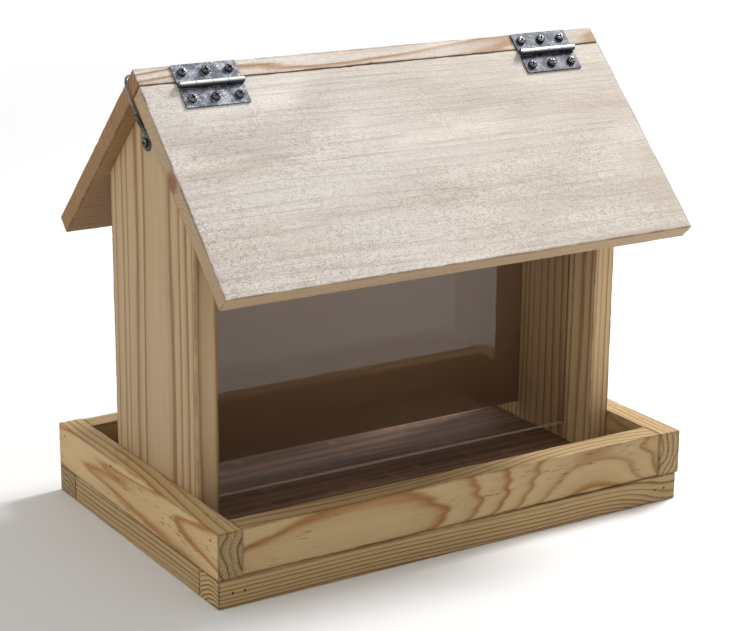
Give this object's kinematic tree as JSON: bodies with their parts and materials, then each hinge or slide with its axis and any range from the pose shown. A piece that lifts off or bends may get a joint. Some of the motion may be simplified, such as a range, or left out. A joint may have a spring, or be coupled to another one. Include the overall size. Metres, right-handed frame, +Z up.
{
  "type": "bird feeder",
  "caption": "Wooden hopper bird feeder: tray on a plinth, clear panes between gables, pitched roof with a hinged front half, and a cable hanger",
  "frame": {"origin": "middle of the footprint, on the ground under the plinth", "axes": "X along the ridge, Y from the hinged lid at -Y to the fixed roof board at +Y, Z up"},
  "size_m": [0.4046, 0.2616, 0.3475],
  "materials": {
    "plinth_pine": "sawn bare pine",
    "rail_pine": "planed bare pine",
    "gable_pine": "planed bare pine",
    "roof_pine": "weathered pale pine",
    "hardboard": "smooth dark hardboard",
    "clear_acrylic": "clear sheet",
    "hinge_zinc": "zinc plated",
    "screw_steel": "zinc plated",
    "lug_steel": "dull tinned",
    "cable_steel": "stranded wire",
    "nail_steel": "dull wire nails"
  },
  "bodies": {
    "house": {"plinth_front": "plinth_pine", "plinth_back": "plinth_pine", "plinth_left": "plinth_pine", "plinth_right": "plinth_pine", "tray_floor": "hardboard", "rail_left": "rail_pine", "rail_right": "rail_pine", "rail_front": "rail_pine", "rail_back": "rail_pine", "gable_left": "gable_pine", "gable_right": "gable_pine", "pane_back": "clear_acrylic", "roof_back_board": "roof_pine", "hinge_left_roof_leaf": "hinge_zinc", "hinge_left_pin": "hinge_zinc", "hinge_right_roof_leaf": "hinge_zinc", "hinge_right_pin": "hinge_zinc", "hinge_screws_roof": "screw_steel", "hanger_screws": "screw_steel", "hanger_lug_left": "lug_steel", "hanger_lug_right": "lug_steel", "hanger_cable": "cable_steel", "plinth_nails": "nail_steel", "rail_nails": "nail_steel", "gable_nails": "nail_steel", "roof_nails": "nail_steel", "base_nails": "nail_steel"},
    "lid": {"lid_board": "roof_pine", "hinge_left_lid_leaf": "hinge_zinc", "hinge_right_lid_leaf": "hinge_zinc", "hinge_screws_lid": "screw_steel"},
    "front_pane": {"pane_front": "clear_acrylic"}
  },
  "joints": [
    {"name": "lid_hinge", "type": "hinge", "parent": "house", "child": "lid", "pos_m": [0.004, -0.01506, 0.3359], "axis": [-1, 0, 0], "range_deg": [0, 160]},
    {"name": "front_pane_lift", "type": "slide", "parent": "house", "child": "front_pane", "axis": [0, 0, 1], "range_m": [0, 0.006]}
  ]
}
